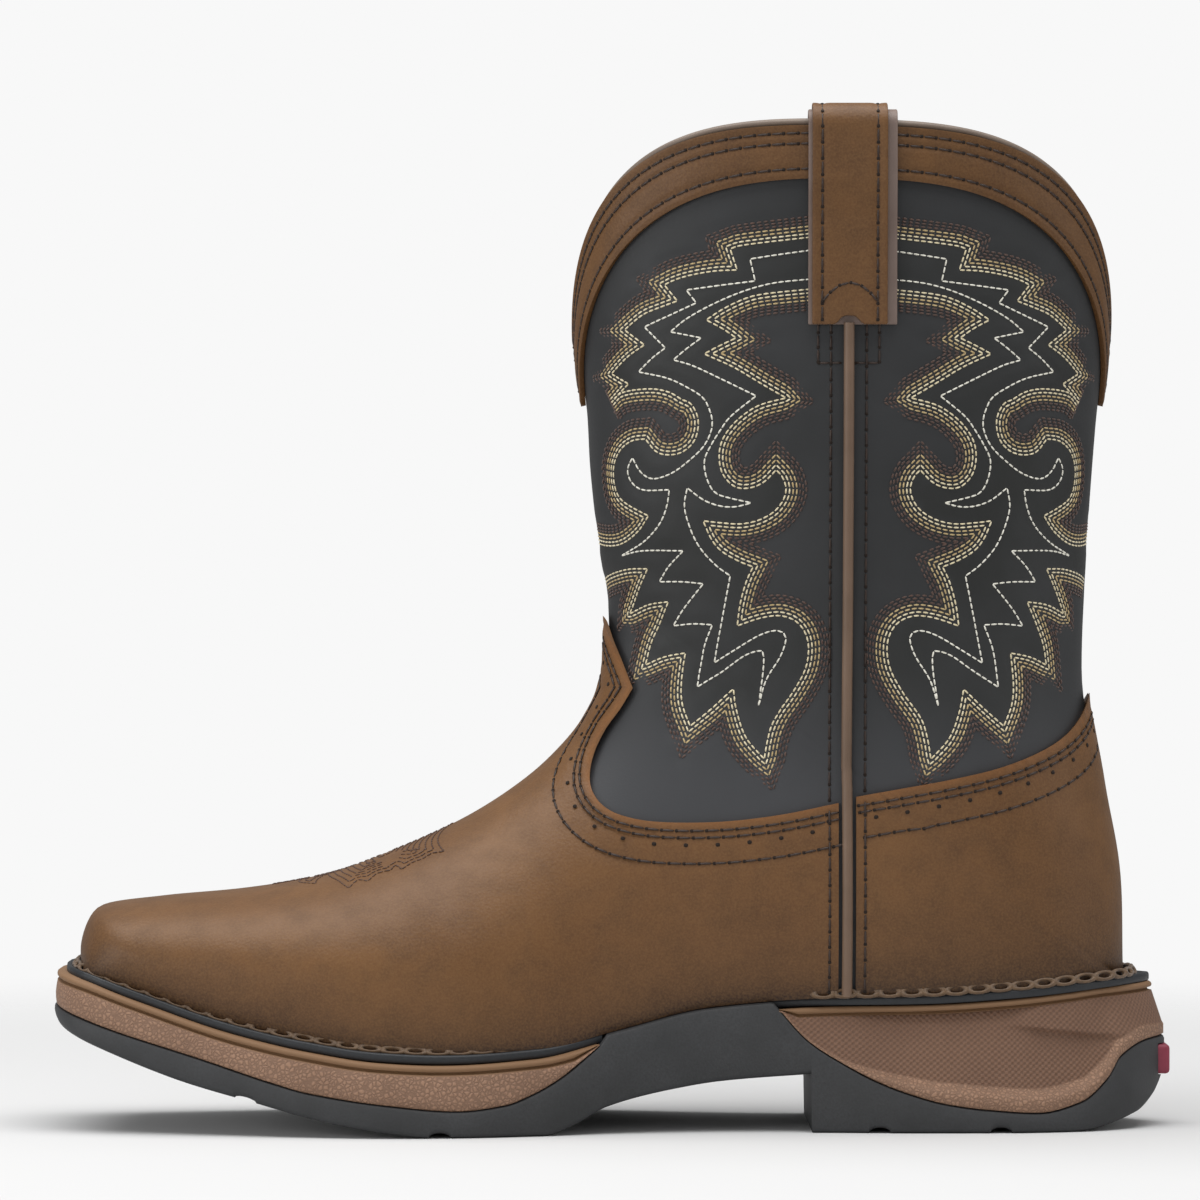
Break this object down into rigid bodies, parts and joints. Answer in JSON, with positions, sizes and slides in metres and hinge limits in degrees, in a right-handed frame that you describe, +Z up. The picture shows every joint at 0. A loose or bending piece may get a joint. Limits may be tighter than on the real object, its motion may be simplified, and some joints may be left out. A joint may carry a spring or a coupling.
{
  "type": "western boot",
  "caption": "Right western pull-on boot with square toe, stitched dark shaft, scalloped collar with pull straps, brown vamp and counter, and a two-tone rubber sole.",
  "frame": {"origin": "on the floor, under the middle of the boot's bounding box", "axes": "+X towards the heel (the toe points along -X), -Y the inner side of the foot, +Z up"},
  "size_m": [0.312, 0.1079, 0.2832],
  "materials": {
    "slate_leather": "satin",
    "brown_leather": "satin",
    "mauve_leather": "satin",
    "black_welt": "satin",
    "brown_midsole": "matte",
    "dark_rubber": "matte",
    "red_rubber": "satin",
    "tan_insole": "matte"
  },
  "bodies": {
    "root": {"upper": "slate_leather", "vamp": "brown_leather", "counter": "brown_leather", "collar_band_front": "brown_leather", "collar_band_back": "brown_leather", "pull_strap_inner": "brown_leather", "pull_strap_outer": "brown_leather", "pull_backing_inner": "mauve_leather", "pull_backing_outer": "mauve_leather", "topline_bead": "mauve_leather", "side_piping_inner": "mauve_leather", "side_piping_outer": "mauve_leather", "welt": "black_welt", "heel_rand": "black_welt", "midsole": "brown_midsole", "heel_stack": "brown_midsole", "outsole": "dark_rubber", "heel_tab": "red_rubber", "insole": "tan_insole"}
  },
  "joints": []
}
